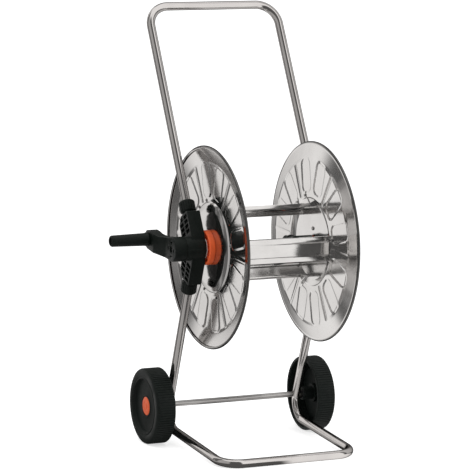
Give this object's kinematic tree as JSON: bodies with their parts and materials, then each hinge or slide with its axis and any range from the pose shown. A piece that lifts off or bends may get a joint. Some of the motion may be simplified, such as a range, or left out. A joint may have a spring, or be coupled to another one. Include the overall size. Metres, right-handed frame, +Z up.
{
  "type": "garden hose reel cart",
  "caption": "Wheeled garden hose cart: bent steel tube frame with leaning handle, open drum reel between pressed steel discs, side crank, water swivel and two rear wheels.",
  "frame": {"origin": "centre of the footprint of the bounding box, on the ground", "axes": "+X across the cart towards the water inlet (crank at -X), -Y towards the front foot, +Z up"},
  "size_m": [0.51, 0.4806, 0.921],
  "materials": {
    "plated_tube": "bright plated steel tube",
    "polished_sheet": "polished pressed sheet steel",
    "bar_sheet": "rolled bright sheet steel",
    "zinc_steel": "zinc-plated fastener steel",
    "black_plastic": "satin moulded plastic",
    "orange_plastic": "semi-gloss moulded plastic",
    "wheel_plastic": "matt moulded plastic with fine tread",
    "bush_plastic": "natural acetal plastic",
    "seal_rubber": "black rubber"
  },
  "bodies": {
    "frame": {"handle_tube": "plated_tube", "base_frame_tube": "plated_tube", "tube_collets": "bush_plastic", "axle": "zinc_steel", "hub_bracket_left": "black_plastic", "collar_nut_upper_left": "black_plastic", "collar_nut_lower_left": "black_plastic", "bearing_bush_left": "bush_plastic", "axle_spacer_left": "zinc_steel", "axle_clip_left": "zinc_steel", "hub_bracket_right": "black_plastic", "collar_nut_upper_right": "black_plastic", "collar_nut_lower_right": "black_plastic", "bearing_bush_right": "bush_plastic", "axle_spacer_right": "zinc_steel", "axle_clip_right": "zinc_steel"},
    "reel": {"disc_left": "polished_sheet", "disc_right": "polished_sheet", "drum_bar_front": "bar_sheet", "drum_bar_top": "bar_sheet", "drum_bar_rear": "bar_sheet", "bar_rivets": "zinc_steel", "hub_screws": "zinc_steel", "reel_hub_left": "orange_plastic", "reel_hub_right": "orange_plastic", "crank_arm": "black_plastic", "crank_screw": "zinc_steel", "crank_pin": "zinc_steel", "swivel_seals": "seal_rubber", "outlet_elbow": "black_plastic", "outlet_washer": "seal_rubber", "outlet_nipple": "black_plastic"},
    "crank_grip": {"crank_grip": "black_plastic"},
    "wheel_left": {"wheel_left": "wheel_plastic", "wheel_cap_left": "orange_plastic"},
    "wheel_right": {"wheel_right": "wheel_plastic", "wheel_cap_right": "orange_plastic"},
    "inlet_elbow": {"inlet_elbow": "black_plastic", "inlet_clip": "zinc_steel", "inlet_washer": "seal_rubber", "inlet_nipple": "black_plastic"}
  },
  "joints": [
    {"name": "reel_spin", "type": "hinge", "parent": "frame", "child": "reel", "pos_m": [0.04525, -0.03035, 0.432], "axis": [1, 0, 0], "continuous": true},
    {"name": "crank_grip_spin", "type": "hinge", "parent": "reel", "child": "crank_grip", "pos_m": [-0.20475, 0.06315, 0.44166], "axis": [1, 0, 0], "continuous": true},
    {"name": "wheel_left_spin", "type": "hinge", "parent": "frame", "child": "wheel_left", "pos_m": [-0.13975, 0.10865, 0.08], "axis": [1, 0, 0], "continuous": true},
    {"name": "wheel_right_spin", "type": "hinge", "parent": "frame", "child": "wheel_right", "pos_m": [0.23025, 0.10865, 0.08], "axis": [1, 0, 0], "continuous": true},
    {"name": "inlet_swivel", "type": "hinge", "parent": "frame", "child": "inlet_elbow", "pos_m": [0.23025, -0.03035, 0.432], "axis": [1, 0, 0], "continuous": true}
  ]
}
